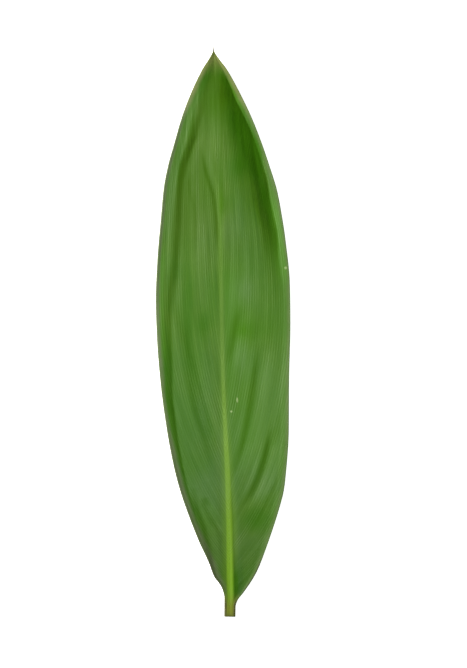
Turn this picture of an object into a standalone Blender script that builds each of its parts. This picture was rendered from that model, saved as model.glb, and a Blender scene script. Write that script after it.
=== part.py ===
"""A cordyline leaf, cut from its stem and lying on its back.

The leaf is one grown piece: a channelled stalk that runs on as the midrib, and a thin
blade on both sides of it that narrows to a needle tip. X is across the leaf, +Y runs
from the cut end to the tip and +Z is up. The origin is on the surface that the leaf
lies on, under the middle of its outline.
"""

import bmesh
import bpy
import numpy as np

# Driving dimensions, in metres
LEAF_LENGTH = 0.430
LEAF_WIDTH = 0.1018
BLADE_THICKNESS = 0.0007

# The grid of the upper face: rows along the leaf, columns across each half
ROWS = 92
ROW_CROWDING = 0.55
RIB_COLUMNS = 2
BLADE_COLUMNS = 10
STRIP_COLUMNS = 3

LEFT, RIGHT = -1, 1

# Lines along the leaf: share of the length from the cut end, share of the half width
MIDRIB_LINE = [
    (0.00, 0.104), (0.13, 0.100), (0.23, 0.076), (0.33, 0.035), (0.43, 0.000),
    (0.55, -0.022), (0.65, -0.040), (0.72, -0.067), (0.82, -0.100), (0.91, -0.118),
    (1.00, -0.133),
]
MARGIN_LINE = {
    LEFT: [
        (0.000, 0.019), (0.033, 0.021), (0.049, -0.009), (0.060, -0.061), (0.070, -0.126),
        (0.095, -0.208), (0.137, -0.371), (0.221, -0.633), (0.264, -0.729), (0.327, -0.831),
        (0.411, -0.927), (0.496, -0.984), (0.558, -1.000), (0.622, -0.978), (0.707, -0.917),
        (0.749, -0.884), (0.791, -0.817), (0.833, -0.717), (0.875, -0.613), (0.917, -0.477),
        (0.960, -0.299), (0.981, -0.187), (0.991, -0.147), (1.000, -0.138),
    ],
    RIGHT: [
        (0.000, 0.186), (0.018, 0.189), (0.028, 0.214), (0.044, 0.314), (0.065, 0.434),
        (0.081, 0.509), (0.116, 0.627), (0.200, 0.859), (0.221, 0.902), (0.243, 0.927),
        (0.327, 0.976), (0.411, 0.980), (0.516, 1.000), (0.580, 0.994), (0.664, 0.927),
        (0.707, 0.872), (0.749, 0.804), (0.791, 0.695), (0.833, 0.574), (0.875, 0.434),
        (0.917, 0.263), (0.960, 0.057), (0.981, -0.075), (0.991, -0.124), (1.000, -0.128),
    ],
}

# Height of the upper face over the surface along the midrib, in metres
MIDRIB_TOP = [
    (0.00, 0.0050), (0.08, 0.0049), (0.20, 0.0044), (0.29, 0.0039), (0.38, 0.0034),
    (0.47, 0.0030), (0.56, 0.0030), (0.63, 0.0038), (0.73, 0.0055), (0.85, 0.0065),
    (0.91, 0.0069), (0.96, 0.0078), (1.00, 0.0086),
]
# Cross-sections, by share of the length: how far the gutter is from the margin, and the
# heights at a quarter, half and three quarters of the way from the midrib to the gutter,
# at the gutter and at the margin, in millimetres
SECTIONS = {
    LEFT: [
        (0.000, 1.2, 5.0, 5.0, 5.0, 5.0, 4.7),
        (0.028, 1.4, 5.0, 5.0, 5.1, 5.2, 5.1),
        (0.081, 3.0, 5.1, 5.5, 5.9, 6.3, 6.7),
        (0.134, 4.0, 5.0, 5.3, 5.7, 6.0, 6.5),
        (0.204, 6.0, 4.6, 4.8, 5.0, 5.1, 5.9),
        (0.292, 7.0, 4.0, 4.1, 4.1, 3.9, 5.0),
        (0.380, 7.8, 3.4, 3.3, 3.1, 2.5, 3.7),
        (0.467, 10.6, 2.8, 2.5, 2.1, 1.6, 2.6),
        (0.555, 11.2, 2.5, 1.9, 1.3, 0.7, 1.2),
        (0.626, 11.0, 3.4, 2.9, 2.4, 1.8, 1.6),
        (0.678, 9.5, 4.4, 4.0, 3.6, 3.2, 2.6),
        (0.731, 9.5, 5.0, 4.7, 4.4, 4.1, 3.4),
        (0.784, 9.0, 5.5, 5.2, 5.0, 4.8, 4.1),
        (0.845, 8.5, 6.1, 6.0, 5.9, 5.8, 5.3),
        (0.907, 7.0, 6.8, 6.8, 6.9, 7.0, 6.8),
        (0.960, 4.0, 8.0, 8.3, 8.6, 8.8, 9.2),
        (1.000, 1.0, 8.6, 8.6, 8.6, 8.6, 8.6),
    ],
    RIGHT: [
        (0.000, 1.2, 5.0, 5.0, 5.0, 5.0, 4.7),
        (0.028, 1.4, 5.0, 5.0, 4.9, 5.0, 5.1),
        (0.081, 3.5, 5.0, 5.2, 5.4, 5.6, 5.9),
        (0.134, 4.5, 4.7, 4.9, 5.1, 5.4, 5.9),
        (0.204, 5.5, 4.3, 4.4, 4.7, 5.2, 5.8),
        (0.292, 6.0, 3.8, 4.1, 4.7, 5.4, 6.2),
        (0.380, 6.0, 3.4, 3.7, 4.4, 5.3, 6.1),
        (0.467, 5.0, 3.1, 3.6, 4.3, 4.9, 5.4),
        (0.555, 4.8, 3.5, 4.1, 4.6, 4.5, 4.8),
        (0.626, 6.4, 4.3, 4.8, 4.9, 3.5, 3.9),
        (0.678, 5.2, 5.3, 5.7, 5.2, 1.4, 2.0),
        (0.731, 6.6, 6.4, 6.4, 4.8, 0.5, 1.5),
        (0.784, 4.8, 6.8, 6.4, 4.2, 0.5, 1.2),
        (0.845, 4.5, 6.6, 5.3, 3.0, 0.6, 1.3),
        (0.907, 5.7, 6.6, 5.4, 3.6, 1.7, 2.8),
        (0.935, 4.2, 7.1, 6.5, 5.4, 4.2, 5.2),
        (0.960, 3.0, 7.8, 7.7, 7.5, 7.2, 7.6),
        (1.000, 0.6, 8.6, 8.6, 8.6, 8.6, 8.6),
    ],
}
# The strip between the gutter and the margin takes at most this share of the half width
STRIP_LIMIT = 0.45
# How steeply the margin's strip leaves the gutter: 1 is a straight rise
STRIP_POWER = {LEFT: 2.6, RIGHT: 1.5}

# The midrib: its half width, the channel in the stalk's upper face, and its keel below
RIB_HALF_WIDTH = [
    (0.00, 0.0034), (0.06, 0.0036), (0.20, 0.0032), (0.33, 0.0026), (0.45, 0.0020),
    (0.60, 0.0016), (0.80, 0.0012), (1.00, 0.0001),
]
CHANNEL_DEPTH = [(0.00, 0.00015), (0.03, 0.00010), (0.10, 0.0)]
KEEL_DEPTH = [
    (0.00, 0.0046), (0.05, 0.0046), (0.12, 0.0039), (0.25, 0.0029), (0.45, 0.0019),
    (0.65, 0.0011), (0.85, 0.0003), (1.00, 0.0000),
]
# The keel's half width as a share of the rib's: it fills the stalk out to its edges
KEEL_SPREAD = [(0.00, 1.25), (0.05, 1.25), (0.12, 1.00), (1.00, 1.00)]

# Creases that follow the veins: their line, then how far each flank reaches to the left
# and to the right of it, and their depth, in metres
CREASES = [
    ([(0.93, -0.200), (0.895, -0.250), (0.868, -0.315), (0.837, -0.395), (0.807, -0.485),
      (0.784, -0.545), (0.731, -0.587), (0.678, -0.600), (0.626, -0.635), (0.555, -0.700),
      (0.500, -0.755)], 0.0065, 0.0220, 0.0011),
    ([(0.840, 0.390), (0.784, 0.509), (0.731, 0.583), (0.690, 0.690), (0.655, 0.740)],
     0.0080, 0.0060, 0.0007),
    ([(0.825, -0.300), (0.800, -0.262), (0.775, -0.213), (0.740, -0.120), (0.705, -0.080),
      (0.661, -0.060), (0.640, -0.055)], 0.0030, 0.0060, 0.0005),
    ([(0.785, -0.480), (0.749, -0.456), (0.713, -0.389), (0.678, -0.367), (0.630, -0.360)],
     0.0035, 0.0120, 0.0002),
    ([(0.560, -0.690), (0.538, -0.634), (0.467, -0.485), (0.415, -0.415), (0.362, -0.340),
      (0.309, -0.200), (0.260, -0.110)], 0.0060, 0.0190, 0.0004),
    ([(0.480, 0.570), (0.450, 0.540), (0.380, 0.465), (0.309, 0.350), (0.250, 0.240)],
     0.0050, 0.0120, 0.0006),
    ([(0.330, 0.740), (0.309, 0.713), (0.265, 0.625), (0.221, 0.475), (0.190, 0.330)],
     0.0045, 0.0110, 0.0006),
    ([(0.540, 0.290), (0.520, 0.257), (0.467, 0.153), (0.440, 0.110)], 0.0060, 0.0110, 0.0002),
    ([(0.225, -0.440), (0.190, -0.345), (0.151, -0.235), (0.098, -0.130), (0.060, -0.060)],
     0.0050, 0.0070, 0.0007),
    ([(0.210, -0.290), (0.190, -0.233), (0.151, -0.085)], 0.0040, 0.0060, 0.0004),
    ([(0.250, 0.130), (0.220, 0.138), (0.170, 0.160), (0.116, 0.177), (0.070, 0.190),
      (0.035, 0.200), (0.020, 0.200)], 0.0028, 0.0050, 0.0003),
]
CREASE_FADE = 0.22

LEAF_COLOUR = (0.055, 0.180, 0.006, 1.0)
LEAF_ROUGHNESS = 0.42


def clear_scene():
    for thing in list(bpy.data.objects):
        bpy.data.objects.remove(thing)


def curve_through(points):
    """A smooth function through (place, value) points that never overshoots them."""
    places, values = np.array(points, float).T
    steps = np.diff(places)
    slopes = np.diff(values) / steps
    tangents = np.concatenate([slopes[:1], np.zeros(len(slopes) - 1), slopes[-1:]])
    before, after = slopes[:-1], slopes[1:]
    bends = before * after > 0
    tangents[1:-1][bends] = 2 * before[bends] * after[bends] / (before[bends] + after[bends])

    def value_at(place):
        i = np.clip(np.searchsorted(places, place) - 1, 0, len(steps) - 1)
        u = np.clip((place - places[i]) / steps[i], 0, 1)
        start = (1 + 2 * u) * (1 - u) ** 2 * values[i] + u * (1 - u) ** 2 * steps[i] * tangents[i]
        end = u**2 * (3 - 2 * u) * values[i + 1] + u**2 * (u - 1) * steps[i] * tangents[i + 1]
        return start + end

    return value_at


def section_curves(sections):
    """One smooth function of the share of the length for each column, in metres."""
    table = np.array(sections, float)
    table[:, 1:] /= 1000
    return [curve_through(table[:, [0, column]]) for column in range(1, table.shape[1])]


midrib_line = curve_through(MIDRIB_LINE)
midrib_top = curve_through(MIDRIB_TOP)
rib_half_width = curve_through(RIB_HALF_WIDTH)
channel_depth = curve_through(CHANNEL_DEPTH)
keel_depth = curve_through(KEEL_DEPTH)
keel_spread = curve_through(KEEL_SPREAD)
margin_line = {side: curve_through(MARGIN_LINE[side]) for side in (LEFT, RIGHT)}
sections = {side: section_curves(SECTIONS[side]) for side in (LEFT, RIGHT)}


def half_width(along, side):
    """From the midrib's centre line to the margin."""
    return side * (margin_line[side](along) - midrib_line(along)) * LEAF_WIDTH / 2


def gutter_distance(along, side):
    """From the midrib's centre line to the gutter beside the margin."""
    wide = half_width(along, side)
    return wide - np.minimum(sections[side][0](along), STRIP_LIMIT * wide)


def rib_edge(along, side):
    return np.minimum(rib_half_width(along), 0.8 * gutter_distance(along, side))


def creases(along, across):
    """How far the creases sink the blade at a place, across in metres from the axis."""
    depth = np.zeros(np.broadcast(along, across).shape)
    for points, left_reach, right_reach, deepest in CREASES:
        points = sorted(points)
        line = curve_through(points)
        first, last = points[0][0], points[-1][0]
        share = np.clip((along - first) / (last - first), 0, 1)
        ends = np.clip(share / CREASE_FADE, 0, 1) * np.clip((1 - share) / CREASE_FADE, 0, 1)
        offset = across - line(along) * LEAF_WIDTH / 2
        reach = np.where(offset < 0, left_reach, right_reach)
        flank = np.clip(1 - np.abs(offset) / reach, 0, 1)
        depth = depth + deepest * ends * flank**2 * (3 - 2 * flank)
    return depth


def bend_through(heights, share):
    """A smooth line through equally spaced heights, at a share of the way along them."""
    spans = len(heights) - 1
    ends = (2 * heights[0] - heights[1], 2 * heights[-1] - heights[-2])
    table = np.stack(np.broadcast_arrays(ends[0], *heights, ends[1]))
    place = np.clip(share, 0, 1) * spans
    first = np.minimum(place.astype(int), spans - 1)
    u = place - first
    a, b, c, d = (np.take_along_axis(table, (first + k)[None], axis=0)[0] for k in range(4))
    return b + u * (c - a + u * (2 * a - 5 * b + 4 * c - d + u * (3 * (b - c) + d - a))) / 2


def height(along, side, out):
    """The upper face's height at a distance out from the midrib's centre line."""
    _, quarter, half, most, gutter, margin = (curve(along) for curve in sections[side])
    wide = half_width(along, side)
    gutter_out = gutter_distance(along, side)
    blade = bend_through((midrib_top(along), quarter, half, most, gutter), out / gutter_out)
    to_margin = np.clip((out - gutter_out) / (wide - gutter_out), 0, 1)
    blade = blade + (margin - gutter) * (1 - (1 - to_margin) ** STRIP_POWER[side])
    blade = blade - creases(along, midrib_line(along) * LEAF_WIDTH / 2 + side * out)
    across_rib = np.clip(out / rib_edge(along, side), 0, 1)
    return blade - channel_depth(along) * np.cos(np.pi / 2 * across_rib) ** 2


def keel(along, side, out):
    """How far the rounded keel under the midrib reaches below the blade."""
    edge = np.minimum(keel_spread(along) * rib_half_width(along), half_width(along, side))
    return keel_depth(along) * np.sqrt(np.clip(1 - (out / edge) ** 2, 0, 1))


def column_places(along, side):
    """Distances from the midrib's centre line, from the centre out to the margin."""
    edges = (0 * along, rib_edge(along, side), gutter_distance(along, side), half_width(along, side))
    places = [edges[0]]
    for inner, outer, count in zip(edges, edges[1:], (RIB_COLUMNS, BLADE_COLUMNS, STRIP_COLUMNS)):
        places += [inner + (outer - inner) * k / count for k in range(1, count + 1)]
    return places


def row_places():
    """Shares of the length, closer together towards both ends."""
    even = np.linspace(0, 1, ROWS + 1)
    return even - ROW_CROWDING * np.sin(2 * np.pi * even) / (2 * np.pi)


def leaf_grid():
    """Points of the upper face, row by row from the left margin to the right one, with
    the keel's depth below each."""
    along = row_places()
    columns = []
    for side in (LEFT, RIGHT):
        places = column_places(along, side)
        if side == LEFT:
            places = places[:0:-1]
        columns += [(side, out) for out in places]
    x = np.array([midrib_line(along) * LEAF_WIDTH / 2 + side * out for side, out in columns])
    y = np.array([(along - 0.5) * LEAF_LENGTH for _ in columns])
    z = np.array([height(along, side, out) for side, out in columns])
    depth = np.array([keel(along, side, out) for side, out in columns])
    return np.stack([x, y, z], axis=2).transpose(1, 0, 2), depth.T


def upper_face(points):
    """The upper face as an open surface of triangles, facing up."""
    rows, columns = points.shape[:2]
    shape = bmesh.new()
    bmesh.ops.create_grid(shape, x_segments=columns - 1, y_segments=rows - 1)
    for vertex, point in zip(shape.verts, points.reshape(-1, 3)):
        vertex.co = point
    bmesh.ops.triangulate(shape, faces=shape.faces)
    mesh = bpy.data.meshes.new("upper_face")
    shape.to_mesh(mesh)
    shape.free()
    return mesh


def leaf_material():
    material = bpy.data.materials.new("leaf_green")
    material.use_nodes = True
    shader = material.node_tree.nodes["Principled BSDF"]
    shader.inputs["Base Color"].default_value = LEAF_COLOUR
    shader.inputs["Roughness"].default_value = LEAF_ROUGHNESS
    shader.inputs["Metallic"].default_value = 0.0
    material.diffuse_color = LEAF_COLOUR
    return material


def make_leaf(collection):
    """The whole leaf: the upper face thickened downwards, with the keel let down from
    its lower face, and pressed flat where it lies on the surface."""
    points, depth = leaf_grid()
    face = bpy.data.objects.new("upper_face", upper_face(points))
    collection.objects.link(face)
    blade = face.modifiers.new("blade", "SOLIDIFY")
    blade.thickness = BLADE_THICKNESS
    blade.offset = -1
    bpy.context.view_layer.update()
    evaluated = face.evaluated_get(bpy.context.evaluated_depsgraph_get())
    solid_mesh = bpy.data.meshes.new_from_object(evaluated)
    bpy.data.objects.remove(face)
    lower_face = solid_mesh.vertices[depth.size:]
    for vertex, deeper in zip(lower_face, depth.ravel()):
        vertex.co.z = max(vertex.co.z - deeper, 0.0)
    solid_mesh.name = "cordyline_leaf"
    solid_mesh.shade_smooth()
    solid_mesh.materials.clear()
    solid_mesh.materials.append(leaf_material())
    leaf = bpy.data.objects.new("cordyline_leaf", solid_mesh)
    collection.objects.link(leaf)
    return leaf


def main():
    clear_scene()
    collection = bpy.data.collections.new("cordyline_leaf")
    bpy.context.scene.collection.children.link(collection)
    make_leaf(collection)


main()
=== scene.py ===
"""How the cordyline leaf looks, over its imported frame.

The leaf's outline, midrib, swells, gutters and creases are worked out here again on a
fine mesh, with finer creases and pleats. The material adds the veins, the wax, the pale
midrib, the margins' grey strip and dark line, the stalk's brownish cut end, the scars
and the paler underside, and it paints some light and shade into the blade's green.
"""

import functools
import math

import bpy
import numpy as np
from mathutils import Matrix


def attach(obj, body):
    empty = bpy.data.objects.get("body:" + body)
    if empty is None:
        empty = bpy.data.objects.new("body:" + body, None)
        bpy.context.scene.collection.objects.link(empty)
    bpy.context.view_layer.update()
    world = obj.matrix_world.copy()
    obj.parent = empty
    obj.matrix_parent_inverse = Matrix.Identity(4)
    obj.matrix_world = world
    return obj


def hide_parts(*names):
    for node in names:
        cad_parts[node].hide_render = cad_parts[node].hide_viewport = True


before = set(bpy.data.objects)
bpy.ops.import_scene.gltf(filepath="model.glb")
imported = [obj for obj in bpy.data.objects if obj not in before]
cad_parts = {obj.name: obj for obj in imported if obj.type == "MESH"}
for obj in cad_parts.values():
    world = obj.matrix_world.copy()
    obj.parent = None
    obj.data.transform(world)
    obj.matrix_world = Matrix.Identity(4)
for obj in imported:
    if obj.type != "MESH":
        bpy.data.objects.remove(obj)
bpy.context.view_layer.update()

LEAF_LENGTH = 0.430
LEAF_WIDTH = 0.1018
BLADE_THICKNESS = 0.0007
MARGIN_THICKNESS = 0.0004
# The blade thins over this share of the half width beside the margin
THIN_MARGIN = 0.1

# Mesh of the upper face: rows along the leaf, columns across each half
ROWS = 400
ROW_CROWDING = 0.35
RIB_COLUMNS = 9
BLADE_COLUMNS = 32
STRIP_COLUMNS = 12

LEFT, RIGHT = -1, 1
# To a metre
MILLIMETRES = 1000

# Lines along the leaf: share of the length from the cut end, share of the half width
MIDRIB_LINE = [
    (0.00, 0.104), (0.13, 0.100), (0.23, 0.076), (0.33, 0.035), (0.43, 0.000),
    (0.55, -0.022), (0.65, -0.040), (0.72, -0.067), (0.82, -0.100), (0.91, -0.118),
    (1.00, -0.133),
]
MARGIN_LINE = {
    LEFT: [
        (0.000, 0.019), (0.033, 0.021), (0.049, -0.009), (0.060, -0.061), (0.070, -0.126),
        (0.095, -0.208), (0.137, -0.371), (0.221, -0.633), (0.264, -0.729), (0.327, -0.831),
        (0.411, -0.927), (0.496, -0.984), (0.558, -1.000), (0.622, -0.978), (0.707, -0.917),
        (0.749, -0.884), (0.791, -0.817), (0.833, -0.717), (0.875, -0.613), (0.917, -0.477),
        (0.960, -0.299), (0.981, -0.187), (0.991, -0.147), (1.000, -0.138),
    ],
    RIGHT: [
        (0.000, 0.186), (0.018, 0.189), (0.028, 0.214), (0.044, 0.314), (0.065, 0.434),
        (0.081, 0.509), (0.116, 0.627), (0.200, 0.859), (0.221, 0.902), (0.243, 0.927),
        (0.327, 0.976), (0.411, 0.980), (0.516, 1.000), (0.580, 0.994), (0.664, 0.927),
        (0.707, 0.872), (0.749, 0.804), (0.791, 0.695), (0.833, 0.574), (0.875, 0.434),
        (0.917, 0.263), (0.960, 0.057), (0.981, -0.075), (0.991, -0.124), (1.000, -0.128),
    ],
}

# Height of the upper face over the surface along the midrib, in metres
MIDRIB_TOP = [
    (0.00, 0.0050), (0.08, 0.0049), (0.20, 0.0044), (0.29, 0.0039), (0.38, 0.0034),
    (0.47, 0.0030), (0.56, 0.0030), (0.63, 0.0038), (0.73, 0.0055), (0.85, 0.0065),
    (0.91, 0.0069), (0.96, 0.0078), (1.00, 0.0086),
]
# Cross-sections, by share of the length: how far the gutter is from the margin, and the
# heights at a quarter, half and three quarters of the way from the midrib to the gutter,
# at the gutter and at the margin, in millimetres
SECTIONS = {
    LEFT: [
        (0.000, 1.2, 5.0, 5.0, 5.0, 5.0, 4.7),
        (0.028, 1.4, 5.0, 5.0, 5.1, 5.2, 5.1),
        (0.081, 3.0, 5.1, 5.5, 5.9, 6.3, 6.7),
        (0.134, 4.0, 5.0, 5.3, 5.7, 6.0, 6.5),
        (0.204, 6.0, 4.6, 4.8, 5.0, 5.1, 5.9),
        (0.292, 7.0, 4.0, 4.1, 4.1, 3.9, 5.0),
        (0.380, 7.8, 3.4, 3.3, 3.1, 2.5, 3.7),
        (0.467, 10.6, 2.8, 2.5, 2.1, 1.6, 2.6),
        (0.555, 11.2, 2.5, 1.9, 1.3, 0.7, 1.2),
        (0.626, 11.0, 3.4, 2.9, 2.4, 1.8, 1.6),
        (0.678, 9.5, 4.4, 4.0, 3.6, 3.2, 2.6),
        (0.731, 9.5, 5.0, 4.7, 4.4, 4.1, 3.4),
        (0.784, 9.0, 5.5, 5.2, 5.0, 4.8, 4.1),
        (0.845, 8.5, 6.1, 6.0, 5.9, 5.8, 5.3),
        (0.907, 7.0, 6.8, 6.8, 6.9, 7.0, 6.8),
        (0.960, 4.0, 8.0, 8.3, 8.6, 8.8, 9.2),
        (1.000, 1.0, 8.6, 8.6, 8.6, 8.6, 8.6),
    ],
    RIGHT: [
        (0.000, 1.2, 5.0, 5.0, 5.0, 5.0, 4.7),
        (0.028, 1.4, 5.0, 5.0, 4.9, 5.0, 5.1),
        (0.081, 3.5, 5.0, 5.2, 5.4, 5.6, 5.9),
        (0.134, 4.5, 4.7, 4.9, 5.1, 5.4, 5.9),
        (0.204, 5.5, 4.3, 4.4, 4.7, 5.2, 5.8),
        (0.292, 6.0, 3.8, 4.1, 4.7, 5.4, 6.2),
        (0.380, 6.0, 3.4, 3.7, 4.4, 5.3, 6.1),
        (0.467, 5.0, 3.1, 3.6, 4.3, 4.9, 5.4),
        (0.555, 4.8, 3.5, 4.1, 4.6, 4.5, 4.8),
        (0.626, 6.4, 4.3, 4.8, 4.9, 3.5, 3.9),
        (0.678, 5.2, 5.3, 5.7, 5.2, 1.4, 2.0),
        (0.731, 6.6, 6.4, 6.4, 4.8, 0.5, 1.5),
        (0.784, 4.8, 6.8, 6.4, 4.2, 0.5, 1.2),
        (0.845, 4.5, 6.6, 5.3, 3.0, 0.6, 1.3),
        (0.907, 5.7, 6.6, 5.4, 3.6, 1.7, 2.8),
        (0.935, 4.2, 7.1, 6.5, 5.4, 4.2, 5.2),
        (0.960, 3.0, 7.8, 7.7, 7.5, 7.2, 7.6),
        (1.000, 0.6, 8.6, 8.6, 8.6, 8.6, 8.6),
    ],
}
# The strip between the gutter and the margin takes at most this share of the half width
STRIP_LIMIT = 0.45
# How steeply the margin's strip leaves the gutter: 1 is a straight rise
STRIP_POWER = {LEFT: 2.6, RIGHT: 1.5}

# By share of the length: half the midrib's width, how deep the channel on top of the stalk
# is and how deep the keel under the midrib, in metres, and the keel's width as a share of
# the midrib's
RIB_HALF_WIDTH = [
    (0.00, 0.0034), (0.06, 0.0036), (0.20, 0.0032), (0.33, 0.0026), (0.45, 0.0020),
    (0.60, 0.0016), (0.80, 0.0012), (1.00, 0.0001),
]
CHANNEL_DEPTH = [(0.00, 0.00015), (0.03, 0.00010), (0.10, 0.0)]
KEEL_DEPTH = [
    (0.00, 0.0046), (0.05, 0.0046), (0.12, 0.0039), (0.25, 0.0029), (0.45, 0.0019),
    (0.65, 0.0011), (0.85, 0.0003), (1.00, 0.0000),
]
KEEL_SPREAD = [(0.00, 1.25), (0.05, 1.25), (0.12, 1.00), (1.00, 1.00)]
# The midrib takes at most this share of the way to the gutter
RIB_LIMIT = 0.8

# Creases that follow the veins: their line, then how far each flank reaches to the left
# and to the right of it, and their depth, in metres
CREASES = [
    ([(0.93, -0.200), (0.895, -0.250), (0.868, -0.315), (0.837, -0.395), (0.807, -0.485),
      (0.784, -0.545), (0.731, -0.587), (0.678, -0.600), (0.626, -0.635), (0.555, -0.700),
      (0.500, -0.755)], 0.0065, 0.0220, 0.0011),
    ([(0.840, 0.390), (0.784, 0.509), (0.731, 0.583), (0.690, 0.690), (0.655, 0.740)],
     0.0080, 0.0060, 0.0007),
    ([(0.825, -0.300), (0.800, -0.262), (0.775, -0.213), (0.740, -0.120), (0.705, -0.080),
      (0.661, -0.060), (0.640, -0.055)], 0.0030, 0.0060, 0.0005),
    ([(0.785, -0.480), (0.749, -0.456), (0.713, -0.389), (0.678, -0.367), (0.630, -0.360)],
     0.0035, 0.0120, 0.0002),
    ([(0.560, -0.690), (0.538, -0.634), (0.467, -0.485), (0.415, -0.415), (0.362, -0.340),
      (0.309, -0.200), (0.260, -0.110)], 0.0060, 0.0190, 0.0004),
    ([(0.480, 0.570), (0.450, 0.540), (0.380, 0.465), (0.309, 0.350), (0.250, 0.240)],
     0.0050, 0.0120, 0.0006),
    ([(0.330, 0.740), (0.309, 0.713), (0.265, 0.625), (0.221, 0.475), (0.190, 0.330)],
     0.0045, 0.0110, 0.0006),
    ([(0.540, 0.290), (0.520, 0.257), (0.467, 0.153), (0.440, 0.110)], 0.0060, 0.0110, 0.0002),
    ([(0.225, -0.440), (0.190, -0.345), (0.151, -0.235), (0.098, -0.130), (0.060, -0.060)],
     0.0050, 0.0070, 0.0007),
    ([(0.210, -0.290), (0.190, -0.233), (0.151, -0.085)], 0.0040, 0.0060, 0.0004),
    ([(0.250, 0.130), (0.220, 0.138), (0.170, 0.160), (0.116, 0.177), (0.070, 0.190),
      (0.035, 0.200), (0.020, 0.200)], 0.0028, 0.0050, 0.0003),
]
# Finer ones, that the solid doesn't have
FINE_CREASES = [
    ([(0.855, -0.330), (0.830, -0.420), (0.800, -0.500), (0.765, -0.555)], 0.0030, 0.0060, 0.0002),
    ([(0.207, -0.270), (0.190, -0.205), (0.165, -0.090), (0.145, -0.010)], 0.0035, 0.0060, 0.0003),
    ([(0.560, -0.590), (0.543, -0.565), (0.470, -0.460), (0.400, -0.310), (0.344, -0.180),
      (0.280, -0.030)], 0.0035, 0.0070, 0.0002),
    ([(0.550, 0.300), (0.520, 0.250), (0.467, 0.160), (0.430, 0.110)], 0.0040, 0.0080, 0.0002),
    ([(0.320, 0.730), (0.290, 0.690), (0.250, 0.590), (0.215, 0.460), (0.185, 0.300)],
     0.0035, 0.0070, 0.0002),
]
# The share of its length over which a crease fades at each end
CREASE_FADE = 0.22

# Shallow pleats run with the veins all over the blade: how many waves, their shortest and
# longest width from crest to crest, and their steepest slope
PLEAT_WAVES = 22
PLEAT_WIDTHS = (0.0036, 0.0200)
PLEAT_SLOPE = 0.014
PLEAT_SEED = 7
# The least and the most of what is drawn for each wave: its drift along the leaf, its
# phase, how often it swells along the leaf and how that shifts across the veins
PLEAT_LEAST = (-3, 0, 2, -90)
PLEAT_MOST = (3, 6.3, 6, 90)
# They are calm this near the midrib and the margin, in metres
CALM_AT_RIB = 0.008
CALM_AT_MARGIN = 0.006

# How waxy the upper face is, and the least and the most that its patches leave
WAX_LEVEL = 0.52
WAX_RANGE = (0.08, 1.3)
# Waxier and duller patches: their middle as shares of the length and of the half width,
# their half length and half width as the same shares, and by how much they change the wax.
# Where they leave little wax the green is also made deeper, which paints shade there.
WAX_PATCHES = [
    (0.573, 0.32, 0.022, 0.13, 0.55), (0.452, 0.28, 0.035, 0.12, 0.35),
    (0.400, 0.75, 0.060, 0.22, 0.15), (0.225, -0.26, 0.030, 0.24, 0.80),
    (0.339, 0.15, 0.050, 0.12, 0.25), (0.280, -0.08, 0.050, 0.12, 0.45),
    (0.232, 0.69, 0.020, 0.20, 0.20), (0.250, 0.45, 0.035, 0.15, 0.30),
    (0.348, -0.26, 0.060, 0.13, 0.20), (0.700, -0.52, 0.120, 0.12, -0.22),
    (0.768, -0.26, 0.040, 0.12, -0.10), (0.690, 0.16, 0.030, 0.14, 0.25),
    (0.865, -0.08, 0.060, 0.22, -0.20), (0.134, 0.42, 0.014, 0.30, 0.15),
    (0.573, -0.50, 0.045, 0.16, -0.20), (0.515, -0.28, 0.030, 0.18, -0.20),
    (0.504, 0.45, 0.030, 0.38, -0.25), (0.175, 0.50, 0.030, 0.40, -0.30),
    (0.150, -0.36, 0.028, 0.20, -0.25), (0.985, -0.10, 0.060, 0.60, -0.45),
    (0.070, 0.30, 0.030, 0.40, -0.20), (0.125, 0.45, 0.045, 0.30, -0.15),
    (0.680, -0.03, 0.120, 0.05, -0.25), (0.420, -0.86, 0.140, 0.14, -0.30),
    (0.500, -0.53, 0.060, 0.10, -0.22), (0.880, 0.23, 0.030, 0.12, -0.35),
    (0.840, 0.37, 0.035, 0.13, -0.40), (0.795, 0.48, 0.035, 0.13, -0.40),
    (0.740, 0.60, 0.030, 0.10, -0.35), (0.690, 0.70, 0.030, 0.08, -0.25),
    (0.765, -0.15, 0.055, 0.28, -0.20), (0.900, 0.00, 0.035, 0.18, -0.15),
    (0.200, 0.04, 0.050, 0.24, 0.35), (0.430, -0.42, 0.060, 0.15, -0.22),
    (0.565, -0.13, 0.045, 0.12, -0.20), (0.215, -0.10, 0.030, 0.12, 0.18),
    (0.235, 0.27, 0.022, 0.12, 0.25), (0.500, 0.28, 0.018, 0.12, -0.20),
    (0.720, 0.06, 0.025, 0.12, -0.22), (0.790, 0.22, 0.040, 0.15, -0.20),
    (0.900, -0.22, 0.030, 0.14, -0.15), (0.850, 0.20, 0.030, 0.10, -0.12),
    (0.930, 0.10, 0.030, 0.12, -0.25), (0.815, 0.52, 0.045, 0.08, -0.25),
    (0.810, -0.45, 0.060, 0.20, -0.14), (0.700, -0.72, 0.070, 0.12, -0.14),
    (0.335, -0.18, 0.035, 0.10, -0.18), (0.290, 0.22, 0.055, 0.12, 0.18),
    (0.215, -0.05, 0.035, 0.10, 0.18), (0.300, -0.42, 0.022, 0.16, 0.14),
    (0.790, -0.66, 0.045, 0.06, -0.22), (0.852, -0.46, 0.030, 0.08, -0.15),
    (0.790, 0.25, 0.025, 0.10, -0.14), (0.715, -0.28, 0.035, 0.20, -0.14),
    (0.720, 0.72, 0.030, 0.10, -0.15), (0.600, 0.08, 0.030, 0.10, -0.12),
    (0.500, -0.30, 0.040, 0.10, -0.10), (0.395, 0.40, 0.040, 0.08, -0.12),
    (0.527, -0.66, 0.030, 0.08, -0.12), (0.300, -0.12, 0.020, 0.06, -0.20),
    (0.355, -0.12, 0.020, 0.05, 0.15), (0.330, 0.14, 0.020, 0.06, 0.12),
    (0.246, 0.80, 0.020, 0.08, 0.15), (0.052, 0.185, 0.024, 0.045, -0.45),
]

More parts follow.
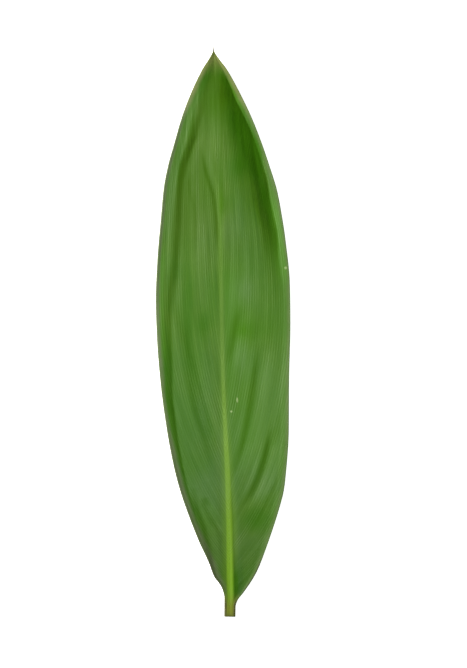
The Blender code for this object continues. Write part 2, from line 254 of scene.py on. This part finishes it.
# Veins leave the midrib steeply and bend towards the tip. How far they reach out and how
# soon they have turned are in metres, and so are the distance between them and a shift
# that keeps the right half's noise from mirroring the left's.
VEIN_REACH = 0.1124
VEIN_LENGTH = 0.0945
VEIN_START = 0.010
VEIN_PITCH = 0.0019
RIGHT_SHIFT = 0.3
# From this share of the length on they draw together, and lose this share of the distance
# between them by the tip
GATHER_START = 0.44
GATHER_SHARE = 0.5

# What the mesh tells the material of each point: which vein it is on, how far it is along
# the leaf, out from the midrib's centre line (positive to the right) and in from the
# margin, all in metres, how waxy it is, and whether it is on the underside
ATTRIBUTES = ("vein", "along", "out", "edge", "wax", "under")

# Noises that run with the veins: how fine they are across them, to a millimetre, and along
# the leaf, to a metre, then the slice of the noise and its detail
STREAKS = {
    "streak": (0.33, 10.0, 0.0, 2.0),
    "fine": (0.90, 22.0, 0.0, 3.0),
    "broad": (0.08, 7.0, 3.0, 2.0),
    "speckle": (1.10, 170.0, 0.0, 2.0),
    "grain": (1.80, 60.0, 0.0, 2.0),
}
MOTTLE = {"slice": 0.5, "scale": 45.0, "detail": 4.0}
MARGIN_NOISE = {"scale": 90.0, "detail": 3.0}

# A tint is a colour and the steps that say where it is mixed in. A step names an attribute
# or a noise, two values of it, and the tint's strength at each, which are 0 and 1 unless
# they are given. It passes smoothly between them, and a tint is as strong as the product
# of its steps.
ON_LEFT = ("out", 0.0, -0.001)
ON_RIGHT = ("out", 0.0, 0.001)
BLADE_GREEN = (0.042, 0.142, 0.0015)
BLADE_TINTS = {
    "streaks": ((0.056, 0.176, 0.0025), [("streak", 0.30, 0.70)]),
    "fine streaks": ((0.085, 0.200, 0.0080), [("fine", 0.35, 0.70, 0.0, 0.34)]),
    "broad streaks": ((0.042, 0.145, 0.0020), [("broad", 0.35, 0.70, 0.0, 0.45)]),
    "mottling": ((0.070, 0.172, 0.0060), [("mottle", 0.40, 0.75, 0.0, 0.40)]),
    "duller base": ((0.048, 0.122, 0.0120), [("along", 0.095, 0.045, 0.0, 0.60)]),
    "speckles": ((0.034, 0.118, 0.0020), [("speckle", 0.40, 0.75, 0.0, 0.22)]),
    # Partly painted shade: a deeper green where the wax is thin, which also darkens the gutters
    # that face away from the light
    "deeper green and painted shade under thin wax": (
        (0.028, 0.130, 0.0004), [("wax", 0.40, 0.10, 0.0, 0.70)],
    ),
    # Painted light: the middle of the right half is made lighter, as if more light fell on it
    "painted light on the middle of the right half": (
        (0.060, 0.200, 0.0030),
        [("along", 0.08, 0.14), ("along", 0.29, 0.24), ("out", 0.000, 0.004),
         ("out", 0.030, 0.010, 0.30, 0.75)],
    ),
    "lighter right side below the tip": (
        (0.080, 0.235, 0.0050), [("along", 0.374, 0.396), ("out", 0.002, 0.006, 0.0, 0.35)],
    ),
    # Painted shade: the left half below the tip is made darker
    "painted shade on the upper left": (
        (0.038, 0.125, 0.0015),
        [("along", 0.27, 0.31), ("along", 0.37, 0.34), ("out", -0.003, -0.012, 0.0, 0.50)],
    ),
    "more olive above the middle": (
        (0.075, 0.154, 0.0030),
        [("along", 0.255, 0.300), ("out", 0.012, 0.004, 0.0, 0.30), ("edge", 0.006, 0.012)],
    ),
    "cooler lower left": (
        (0.028, 0.143, 0.0035),
        [("along", 0.060, 0.085), ("along", 0.215, 0.185, 0.0, 0.32),
         ("out", -0.006, -0.013)],
    ),
}

# The margins have a greyish strip that is wider in three places, most of all at the left
# base, and takes another grey there and at the tip. Widths are in metres, and the strip
# share is how far in from the margin a point is, as a share of the strip's width. A dark
# line runs just inside the margin, with a gap in the leaf's middle.
GREY_STRIP_WIDTHS = (0.0038, 0.0052)
GREY_STRIP_WIDER = {
    "tip": [("along", 0.370, 0.400)],
    "left base": [("along", 0.155, 0.115), ON_LEFT],
    "left middle": [("along", 0.16, 0.19), ("along", 0.27, 0.24), ON_LEFT],
}
GREY_STRIP_ADDED = ("along", 0.080, 0.055, 0.0008, 0.0020)
GREY_STRIP_FADE = [("strip share", 1.0, 0.18), ("margin noise", 0.2, 0.6, 0.5, 0.9)]
GREYS = {
    "left": (0.128, 0.180, 0.080),
    "right": (0.112, 0.200, 0.050),
    "left base": (0.130, 0.160, 0.084),
    "tip": (0.205, 0.240, 0.090),
}
LINE_COLOUR = (0.052, 0.095, 0.022)
LINE_STEPS = [
    ("edge", 0.0004, 0.0012), ("edge", 0.0028, 0.0018), ("out", 0.0, -0.001, 0.10, 0.70),
]
MARGIN_TINTS = {
    "dark line, lower part": (LINE_COLOUR, [*LINE_STEPS, ("along", 0.17, 0.11)]),
    "dark line, upper part": (
        LINE_COLOUR, [*LINE_STEPS, ("along", 0.22, 0.27), ("along", 0.385, 0.365)],
    ),
    # Painted light: the strips beside the margins, where the blade turns up towards the light, are
    # made lighter
    "painted light on the strip beside the left line": (
        (0.070, 0.225, 0.0080),
        [("edge", 0.0020, 0.0032), ("edge", 0.0072, 0.0050), ("along", 0.185, 0.205),
         ("along", 0.285, 0.265, 0.0, 0.40), ON_LEFT],
    ),
    "painted light on the strip beside the right margin": (
        (0.068, 0.245, 0.0050),
        [("edge", 0.0010, 0.0022), ("edge", 0.0130, 0.0040), ("along", 0.245, 0.262),
         ("along", 0.330, 0.300, 0.0, 0.50), ON_RIGHT],
    ),
    "dark margin beside the stalk": (
        (0.050, 0.055, 0.0200), [("edge", 0.0014, 0.0005), ("along", 0.050, 0.038, 0.0, 0.80)],
    ),
}

# The midrib is pale and green at the base, a faint line higher up and gone before the tip.
# Its tint's half width is a step too, in metres. The rib share is how far out a point is,
# as a share of that, and the core and the flanks go by it.
RIB_TINT_WIDTH = ("along", 0.05, 0.18, 0.0031, 0.0018)
RIB_CORE = ("rib share", 1.25, 0.40)
RIB_FLANK = ("rib share", 2.40, 0.80, 0.0, 0.30)
RIB_FADE = [("along", 0.135, 0.232, 1.0, 0.60), ("along", 0.25, 0.36, 1.0, 0.0)]
RIB_BASE_GREEN = (0.165, 0.350, 0.014)
RIB_UPPER_GREEN = (0.123, 0.266, 0.031)
RIB_GREEN_CHANGE = ("along", 0.02, 0.25)

# The stalk with the painted shade in the fold beside it, and the tip
END_TINTS = {
    # Painted shade: a dark green in the deep fold where the right blade meets the midrib beside
    # the stalk
    "painted shade in the fold beside the stalk": (
        (0.024, 0.100, 0.0006),
        [("out", 0.0026, 0.0040), ("out", 0.0120, 0.0075), ("along", 0.060, 0.025, 0.0, 0.80)],
    ),
    "olive tip": ((0.168, 0.215, 0.052), [("along", 0.405, 0.425, 0.0, 0.90)]),
    "greyish brown needle": ((0.190, 0.175, 0.120), [("along", 0.4245, 0.4285)]),
    "olive end of the stalk": ((0.170, 0.195, 0.012), [("along", 0.020, 0.004, 0.0, 0.85)]),
    "brown edges of the stalk": (
        (0.065, 0.068, 0.018), [("edge", 0.0024, 0.0010), ("along", 0.016, 0.010, 0.0, 0.85)],
    ),
    "brownish cut": ((0.088, 0.095, 0.018), [("along", 0.0042, 0.0004, 0.0, 0.60)]),
}

# Pale scars on the upper face, in metres: how far along the leaf and out from the midrib,
# half length and half width. They fade by the square of the distance from their middle,
# where 1 is their outline.
SCARS = [
    (0.1634, 0.0100, 0.0021, 0.0007), (0.1548, 0.0051, 0.0009, 0.0009),
    (0.2632, 0.0490, 0.0012, 0.0010),
]
SCAR_COLOUR = (0.330, 0.480, 0.190)
SCAR_FADE = (1.3, 0.3, 0.0, 0.75)

UNDERSIDE_COLOUR = (0.110, 0.240, 0.030)
UNDERSIDE_SHARE = 0.5

# The veins stand up more where the streaks and the mottling are strong. Heights in metres.
VEIN_RELIEF = 0.000040
VEIN_STRENGTH = [("streak", 0.30, 0.75, 0.15, 1.0), ("mottle", 0.40, 0.65, 0.45, 1.0)]
GRAIN_RELIEF = 0.000060

# Wax makes the face glossier and a little smoother, each by a power of how waxy it is
WAX_STREAKS = ("streak", 0.25, 0.75, 0.8, 1.2)
GLOSS_POWER = 0.85
ROUGHNESS_POWER = -0.12
ROUGHNESS = ("mottle", 0.3, 0.8, 0.42, 0.50)
LEAF_IOR = 1.45


def curve_through(points):
    """A smooth function through (place, value) points that never overshoots them."""
    places, values = np.array(points, float).T
    steps = np.diff(places)
    slopes = np.diff(values) / steps
    tangents = np.concatenate([slopes[:1], np.zeros(len(slopes) - 1), slopes[-1:]])
    before, after = slopes[:-1], slopes[1:]
    bends = before * after > 0
    tangents[1:-1][bends] = 2 * before[bends] * after[bends] / (before[bends] + after[bends])

    def value_at(place):
        i = np.clip(np.searchsorted(places, place) - 1, 0, len(steps) - 1)
        u = np.clip((place - places[i]) / steps[i], 0, 1)
        start = (1 + 2 * u) * (1 - u) ** 2 * values[i] + u * (1 - u) ** 2 * steps[i] * tangents[i]
        end = u**2 * (3 - 2 * u) * values[i + 1] + u**2 * (u - 1) * steps[i] * tangents[i + 1]
        return start + end

    return value_at


def section_curves(rows):
    """One smooth function of the share of the length for each column, in metres."""
    table = np.array(rows, float)
    table[:, 1:] /= MILLIMETRES
    return [curve_through(table[:, [0, column]]) for column in range(1, table.shape[1])]


midrib_line = curve_through(MIDRIB_LINE)
midrib_top = curve_through(MIDRIB_TOP)
rib_half_width = curve_through(RIB_HALF_WIDTH)
channel_depth = curve_through(CHANNEL_DEPTH)
keel_depth = curve_through(KEEL_DEPTH)
keel_spread = curve_through(KEEL_SPREAD)
margin_line = {side: curve_through(MARGIN_LINE[side]) for side in (LEFT, RIGHT)}
sections = {side: section_curves(SECTIONS[side]) for side in (LEFT, RIGHT)}


def midrib_place(along):
    """The midrib's centre line, in metres across from the leaf's axis."""
    return midrib_line(along) * LEAF_WIDTH / 2


def half_width(along, side):
    """From the midrib's centre line to the margin."""
    return side * (margin_line[side](along) - midrib_line(along)) * LEAF_WIDTH / 2


def gutter_distance(along, side):
    """From the midrib's centre line to the gutter beside the margin."""
    wide = half_width(along, side)
    return wide - np.minimum(sections[side][0](along), STRIP_LIMIT * wide)


def rib_edge(along, side):
    """From the midrib's centre line to where the midrib ends."""
    return np.minimum(rib_half_width(along), RIB_LIMIT * gutter_distance(along, side))


def creases(along, across):
    """How far the creases sink the blade at a place, across in metres from the axis."""
    depth = np.zeros(np.broadcast(along, across).shape)
    for points, left_reach, right_reach, deepest in CREASES + FINE_CREASES:
        points = sorted(points)
        line = curve_through(points)
        first, last = points[0][0], points[-1][0]
        share = np.clip((along - first) / (last - first), 0, 1)
        ends = np.clip(share / CREASE_FADE, 0, 1) * np.clip((1 - share) / CREASE_FADE, 0, 1)
        offset = across - line(along) * LEAF_WIDTH / 2
        reach = np.where(offset < 0, left_reach, right_reach)
        flank = np.clip(1 - np.abs(offset) / reach, 0, 1)
        depth = depth + deepest * ends * flank**2 * (3 - 2 * flank)
    return depth


def bend_through(heights, share):
    """A smooth line through equally spaced heights, at a share of the way along them."""
    spans = len(heights) - 1
    ends = (2 * heights[0] - heights[1], 2 * heights[-1] - heights[-2])
    table = np.stack(np.broadcast_arrays(ends[0], *heights, ends[1]))
    place = np.clip(share, 0, 1) * spans
    first = np.minimum(place.astype(int), spans - 1)
    u = place - first
    a, b, c, d = (np.take_along_axis(table, (first + k)[None], axis=0)[0] for k in range(4))
    return b + u * (c - a + u * (2 * a - 5 * b + 4 * c - d + u * (3 * (b - c) + d - a))) / 2


def pleats(along, side, out):
    """Waves of many widths that drift slowly across the veins."""
    vein = vein_place(along, side, out)
    draw = np.random.default_rng(PLEAT_SEED)
    waves = np.zeros(np.broadcast(along, out).shape)
    shortest, longest = np.log(PLEAT_WIDTHS)
    for _ in range(PLEAT_WAVES):
        width = np.exp(draw.uniform(shortest, longest))
        drift, phase, swell, patch = draw.uniform(PLEAT_LEAST, PLEAT_MOST)
        swelling = np.sin(2 * np.pi * swell * along + patch * vein + phase)
        strength = PLEAT_SLOPE * width / (2 * np.pi) * np.clip(swelling, 0, 1)
        waves = waves + strength * np.sin(2 * np.pi * (vein / width + drift * along) + phase)
    edge = half_width(along, side) - out
    return waves * np.clip(out / CALM_AT_RIB, 0, 1) * np.clip(edge / CALM_AT_MARGIN, 0, 1)


def height(along, side, out):
    """The upper face's height at a distance out from the midrib's centre line."""
    _, quarter, half, most, gutter, margin = (curve(along) for curve in sections[side])
    wide = half_width(along, side)
    gutter_out = gutter_distance(along, side)
    blade = bend_through((midrib_top(along), quarter, half, most, gutter), out / gutter_out)
    to_margin = np.clip((out - gutter_out) / (wide - gutter_out), 0, 1)
    blade = blade + (margin - gutter) * (1 - (1 - to_margin) ** STRIP_POWER[side])
    blade = blade - creases(along, midrib_place(along) + side * out)
    blade = blade + pleats(along, side, out)
    across_rib = np.clip(out / rib_edge(along, side), 0, 1)
    return blade - channel_depth(along) * np.cos(np.pi / 2 * across_rib) ** 2


def thickness(along, side, out):
    """From the upper face to the lower one: thin at the margin, a keel under the midrib."""
    wide = half_width(along, side)
    edge = np.minimum(keel_spread(along) * rib_half_width(along), wide)
    keel = keel_depth(along) * np.sqrt(np.clip(1 - (out / edge) ** 2, 0, 1))
    thin = np.clip((wide - out) / (THIN_MARGIN * wide), 0, 1)
    return MARGIN_THICKNESS + (BLADE_THICKNESS - MARGIN_THICKNESS) * np.sqrt(thin) + keel


def vein_place(along, side, out):
    """A coordinate, in metres, that is the same all along one vein."""
    from_start = np.maximum(along * LEAF_LENGTH - VEIN_START, 0)
    towards_tip = np.clip((along - GATHER_START) / (1 - GATHER_START), 0, 1)
    gathering = 1 - GATHER_SHARE * towards_tip**2 * (3 - 2 * towards_tip)
    start = VEIN_REACH * np.exp(-from_start / VEIN_LENGTH)
    return out / gathering + start + (side == RIGHT) * RIGHT_SHIFT


def wax(along, across):
    """How strongly the upper face shines, across as a share of the half width."""
    level = WAX_LEVEL + np.zeros(np.broadcast(along, across).shape)
    for middle, middle_across, half_long, half_wide, change in WAX_PATCHES:
        distance = np.hypot((along - middle) / half_long, (across - middle_across) / half_wide)
        level = level + change * np.exp(-(distance**2))
    return np.clip(level, *WAX_RANGE)


def column_places(along, side):
    """Distances from the midrib's centre line, from the centre out to the margin."""
    ends = [curve(along, side) for curve in (rib_edge, gutter_distance, half_width)]
    edges = [0 * along, *ends]
    places = edges[:1]
    for inner, outer, count in zip(edges, edges[1:], (RIB_COLUMNS, BLADE_COLUMNS, STRIP_COLUMNS)):
        places += [inner + (outer - inner) * k / count for k in range(1, count + 1)]
    return places


def leaf_rings():
    """The closed outline of each cross-section, from the left margin over the upper face
    to the right margin and back under the leaf, with what the material needs to know."""
    even = np.linspace(0, 1, ROWS + 1)
    along = even - ROW_CROWDING * np.sin(2 * np.pi * even) / (2 * np.pi)
    columns = []
    for side in (LEFT, RIGHT):
        places = column_places(along, side)
        if side == LEFT:
            places = places[:0:-1]
        columns += [(side, out) for out in places]
    top, under = [], []
    for side, out in columns:
        x = midrib_place(along) + side * out
        y = (along - 0.5) * LEAF_LENGTH
        z = height(along, side, out)
        low = np.maximum(z - thickness(along, side, out), 0)
        facts = (
            vein_place(along, side, out),
            along * LEAF_LENGTH,
            side * out,
            half_width(along, side) - out,
            wax(along, x / (LEAF_WIDTH / 2)),
        )
        top.append(np.stack((x, y, z, *facts, 0 * x)))
        under.append(np.stack((x, y, low, *facts, 0 * x + 1)))
    return np.array(top + under[::-1]).transpose(2, 0, 1)


def make_leaf():
    """The leaf as one closed mesh, with the attributes on its points."""
    rings = leaf_rings()
    rows, around = rings.shape[:2]
    corner = np.arange(rows * around).reshape(rows, around)
    following = np.roll(corner, -1, axis=1)
    walls = np.stack((corner[:-1], corner[1:], following[1:], following[:-1]), axis=2)
    faces = walls.reshape(-1, 4).tolist()
    half = around // 2
    # The cut end and the tip are closed
    for row, turn in ((0, 1), (rows - 1, -1)):
        for k in range(half - 1):
            upper, lower = corner[row, k : k + 2], corner[row, around - k - 2 : around - k]
            faces.append([*upper.tolist(), *lower.tolist()][::turn])
    mesh = bpy.data.meshes.new("leaf")
    flat = rings.reshape(-1, rings.shape[2])
    mesh.from_pydata(flat[:, :3].tolist(), [], faces)
    for k, name in enumerate(ATTRIBUTES, start=3):
        layer = mesh.attributes.new(name, "FLOAT", "POINT")
        layer.data.foreach_set("value", flat[:, k].astype(np.float32))
    mesh.shade_smooth()
    mesh.validate()
    leaf = bpy.data.objects.new("leaf", mesh)
    bpy.context.scene.collection.objects.link(leaf)
    return leaf


class Shader:
    """Builds a material's nodes, one small call for each."""

    def __init__(self, name):
        self.material = bpy.data.materials.new(name)
        self.material.use_nodes = True
        self.tree = self.material.node_tree
        self.surface = self.tree.nodes["Principled BSDF"]
        self.facts = {}

    def feed(self, socket, value):
        """Links a socket to the input, or sets it to a number or a colour."""
        if isinstance(value, bpy.types.NodeSocket):
            self.tree.links.new(value, socket)
        elif isinstance(value, tuple):
            socket.default_value = (*value, 1.0)
        else:
            socket.default_value = value

    def attribute(self, name):
        node = self.tree.nodes.new("ShaderNodeAttribute")
        node.attribute_name = name
        return node.outputs["Fac"]

    def math(self, operation, first, second=0.0):
        node = self.tree.nodes.new("ShaderNodeMath")
        node.operation = operation
        self.feed(node.inputs[0], first)
        self.feed(node.inputs[1], second)
        return node.outputs[0]

    def ramp(self, value, low, high, at_low=0.0, at_high=1.0):
        """Passes smoothly from at_low to at_high as the value goes from low to high."""
        node = self.tree.nodes.new("ShaderNodeMapRange")
        node.interpolation_type = "SMOOTHSTEP"
        names = ("Value", "From Min", "From Max", "To Min", "To Max")
        for name, number in zip(names, (value, low, high, at_low, at_high)):
            self.feed(node.inputs[name], number)
        return node.outputs["Result"]

    def place(self, x, y, z=0.0):
        node = self.tree.nodes.new("ShaderNodeCombineXYZ")
        for socket, value in zip(node.inputs, (x, y, z)):
            self.feed(socket, value)
        return node.outputs[0]

    def noise(self, vector, scale=1.0, detail=2.0):
        node = self.tree.nodes.new("ShaderNodeTexNoise")
        self.feed(node.inputs["Vector"], vector)
        node.inputs["Scale"].default_value = scale
        node.inputs["Detail"].default_value = detail
        return node.outputs["Fac"]

    def mix(self, factor, first, second):
        node = self.tree.nodes.new("ShaderNodeMix")
        node.data_type = "RGBA"
        self.feed(node.inputs["Factor"], factor)
        self.feed(node.inputs["A"], first)
        self.feed(node.inputs["B"], second)
        return node.outputs["Result"]

    def bump(self, relief, distance, below=None):
        node = self.tree.nodes.new("ShaderNodeBump")
        node.inputs["Strength"].default_value = 1.0
        node.inputs["Distance"].default_value = distance
        self.feed(node.inputs["Height"], relief)
        if below is not None:
            self.feed(node.inputs["Normal"], below)
        return node.outputs["Normal"]

    def step(self, name, *ends):
        """A ramp over one of the facts, by its name."""
        return self.ramp(self.facts[name], *ends)

    def strength(self, steps):
        """The product of several steps."""
        ramps = [self.step(*step) for step in steps]
        return functools.reduce(functools.partial(self.math, "MULTIPLY"), ramps)

    def tinted(self, colour, tints):
        """The colour with each tint mixed in, one after the other."""
        for tint, steps in tints.values():
            colour = self.mix(self.strength(steps), colour, tint)
        return colour


def learn_facts(nodes):
    """The mesh's attributes and the noises over them, by name."""
    facts = nodes.facts
    facts.update({name: nodes.attribute(name) for name in ATTRIBUTES})
    across = nodes.math("MULTIPLY", facts["vein"], MILLIMETRES)
    for name, (fineness, along_fineness, layer, detail) in STREAKS.items():
        x = nodes.math("MULTIPLY", across, fineness)
        y = nodes.math("MULTIPLY", facts["along"], along_fineness)
        facts[name] = nodes.noise(nodes.place(x, y, layer), detail=detail)
    place = nodes.place(facts["out"], facts["along"], MOTTLE["slice"])
    facts["mottle"] = nodes.noise(place, scale=MOTTLE["scale"], detail=MOTTLE["detail"])
    facts["right"] = nodes.math("GREATER_THAN", facts["out"], 0.0)
    place = nodes.place(facts["along"], facts["right"])
    facts["margin noise"] = nodes.noise(place, **MARGIN_NOISE)


def add_grey_strip(nodes, blade):
    """The blade's colour with the margins' strip on it."""
    facts = nodes.facts
    wider = {name: nodes.strength(steps) for name, steps in GREY_STRIP_WIDER.items()}
    widest = functools.reduce(functools.partial(nodes.math, "MAXIMUM"), wider.values())
    width = nodes.ramp(widest, 0.0, 1.0, *GREY_STRIP_WIDTHS)
    added = nodes.math("MULTIPLY", wider["left base"], nodes.step(*GREY_STRIP_ADDED))
    facts["strip share"] = nodes.math("DIVIDE", facts["edge"], nodes.math("ADD", width, added))
    grey = nodes.mix(facts["right"], GREYS["left"], GREYS["right"])
    grey = nodes.mix(wider["left base"], grey, GREYS["left base"])
    grey = nodes.mix(wider["tip"], grey, GREYS["tip"])
    return nodes.mix(nodes.strength(GREY_STRIP_FADE), blade, grey)


def add_midrib(nodes, blade):
    """The blade's colour with the midrib on it."""
    facts = nodes.facts
    distance = nodes.math("ABSOLUTE", facts["out"])
    facts["rib share"] = nodes.math("DIVIDE", distance, nodes.step(*RIB_TINT_WIDTH))
    rib = nodes.math("MAXIMUM", nodes.step(*RIB_CORE), nodes.step(*RIB_FLANK))
    rib = nodes.math("MULTIPLY", rib, nodes.strength(RIB_FADE))
    green = nodes.mix(nodes.step(*RIB_GREEN_CHANGE), RIB_BASE_GREEN, RIB_UPPER_GREEN)
    return nodes.mix(rib, blade, green)


def add_scars(nodes, colour):
    for middle, middle_out, half_long, half_wide in SCARS:
        offset = nodes.math("SUBTRACT", nodes.facts["along"], middle)
        lengthways = nodes.math("DIVIDE", offset, half_long)
        offset = nodes.math("SUBTRACT", nodes.facts["out"], middle_out)
        sideways = nodes.math("DIVIDE", offset, half_wide)
        lengthways = nodes.math("MULTIPLY", lengthways, lengthways)
        sideways = nodes.math("MULTIPLY", sideways, sideways)
        far = nodes.math("ADD", lengthways, sideways)
        colour = nodes.mix(nodes.ramp(far, *SCAR_FADE), colour, SCAR_COLOUR)
    return colour


def leaf_colour(nodes):
    colour = nodes.tinted(BLADE_GREEN, BLADE_TINTS)
    colour = add_grey_strip(nodes, colour)
    colour = nodes.tinted(colour, MARGIN_TINTS)
    colour = add_midrib(nodes, colour)
    colour = nodes.tinted(colour, END_TINTS)
    colour = add_scars(nodes, colour)
    underside = nodes.mix(UNDERSIDE_SHARE, colour, UNDERSIDE_COLOUR)
    return nodes.mix(nodes.facts["under"], colour, underside)


def leaf_relief(nodes):
    """The veins, and a finer grain that runs with them."""
    turns = nodes.math("MULTIPLY", nodes.facts["vein"], 2 * math.pi / VEIN_PITCH)
    wave = nodes.math("SINE", turns)
    veins = nodes.math("MULTIPLY", wave, nodes.strength(VEIN_STRENGTH))
    relief = nodes.bump(veins, VEIN_RELIEF)
    return nodes.bump(nodes.facts["grain"], GRAIN_RELIEF, below=relief)


def leaf_material():
    nodes = Shader("leaf_green")
    learn_facts(nodes)
    inputs = nodes.surface.inputs
    nodes.feed(inputs["Base Color"], leaf_colour(nodes))
    nodes.feed(inputs["Normal"], leaf_relief(nodes))
    shine = nodes.math("MULTIPLY", nodes.facts["wax"], nodes.step(*WAX_STREAKS))
    shine = nodes.math("DIVIDE", shine, WAX_LEVEL)
    dullness = nodes.math("POWER", shine, ROUGHNESS_POWER)
    roughness = nodes.math("MULTIPLY", dullness, nodes.step(*ROUGHNESS))
    nodes.feed(inputs["Roughness"], roughness)
    gloss = nodes.math("MULTIPLY", nodes.math("POWER", shine, GLOSS_POWER), WAX_LEVEL)
    nodes.feed(inputs["Specular IOR Level"], gloss)
    inputs["IOR"].default_value = LEAF_IOR
    return nodes.material


# The table is so wide that its edge doesn't show in a low view, and lies just under the
# leaf, in metres
FLOOR_RADIUS = 40.0
FLOOR_CORNERS = 96
FLOOR_DROP = 0.0002


def floor_material():
    nodes = Shader("white_table")
    looks = {
        "Base Color": (0.9, 0.9, 0.9),
        "Roughness": 1.0,
        "Specular IOR Level": 0.0,
        "Emission Color": (1.0, 1.0, 1.0),
        "Emission Strength": 1.0,
    }
    for name, value in looks.items():
        nodes.feed(nodes.surface.inputs[name], value)
    return nodes.material


def make_floor():
    bpy.ops.mesh.primitive_circle_add(
        vertices=FLOOR_CORNERS, radius=FLOOR_RADIUS, fill_type="NGON",
        location=(0, 0, -FLOOR_DROP),
    )
    floor = bpy.context.object
    floor.name = "table"
    floor.data.materials.append(floor_material())


# The room's own white light, beside the softboxes
ROOM_STRENGTH = 0.02


def add_softbox(name, azimuth, elevation, distance, size, power, colour, sheen=True):
    """A square light that looks at the leaf's middle: degrees, metres and watts."""
    light = bpy.data.lights.new(name, "AREA")
    light.shape = "SQUARE"
    light.size = size
    light.energy = power
    light.color = colour
    lamp = bpy.data.objects.new(name, light)
    bpy.context.scene.collection.objects.link(lamp)
    azimuth, elevation = math.radians(azimuth), math.radians(elevation)
    lamp.location = (
        distance * math.cos(elevation) * math.cos(azimuth),
        distance * math.cos(elevation) * math.sin(azimuth),
        distance * math.sin(elevation),
    )
    lamp.rotation_euler = (math.pi / 2 - elevation, 0, azimuth + math.pi / 2)
    lamp.visible_camera = False
    lamp.visible_glossy = sheen


def make_lights():
    """A warm key from the upper left, and two weak ones overhead for the wax and the shade."""
    add_softbox(
        "key", azimuth=155, elevation=36, distance=2.0, size=1.1, power=74,
        colour=(1.0, 0.93, 0.84),
    )
    add_softbox(
        "sheen", azimuth=160, elevation=77, distance=2.0, size=1.1, power=5.0,
        colour=(0.93, 0.96, 1.0),
    )
    add_softbox(
        "overhead", azimuth=90, elevation=88, distance=2.4, size=2.0, power=5.5,
        colour=(0.75, 1.0, 0.8), sheen=False,
    )
    world = bpy.data.worlds.new("room")
    bpy.context.scene.world = world
    world.use_nodes = True
    background = world.node_tree.nodes["Background"]
    background.inputs["Color"].default_value = (1, 1, 1, 1)
    background.inputs["Strength"].default_value = ROOM_STRENGTH


# The camera looks straight down on the leaf. The photograph's frame is this tall, in
# metres, at the height given, and its middle is this far from the leaf's.
CAMERA_LENS = 100.0
SENSOR = 36.0
FRAME_HEIGHT = 0.5034
FRAME_MIDDLE = (0.0080, -0.0017)
FRAME_LEVEL = 0.006


def make_camera():
    lens = bpy.data.cameras.new("camera")
    lens.lens = CAMERA_LENS
    lens.sensor_width = SENSOR
    camera = bpy.data.objects.new("camera", lens)
    bpy.context.scene.collection.objects.link(camera)
    distance = FRAME_HEIGHT * CAMERA_LENS / SENSOR
    camera.location = (*FRAME_MIDDLE, distance + FRAME_LEVEL)
    bpy.context.scene.camera = camera


def main():
    leaf = make_leaf()
    leaf.data.materials.append(leaf_material())
    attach(leaf, "root")
    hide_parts("cordyline_leaf")
    make_floor()
    make_lights()
    make_camera()
    bpy.context.scene.view_settings.view_transform = "Standard"


main()
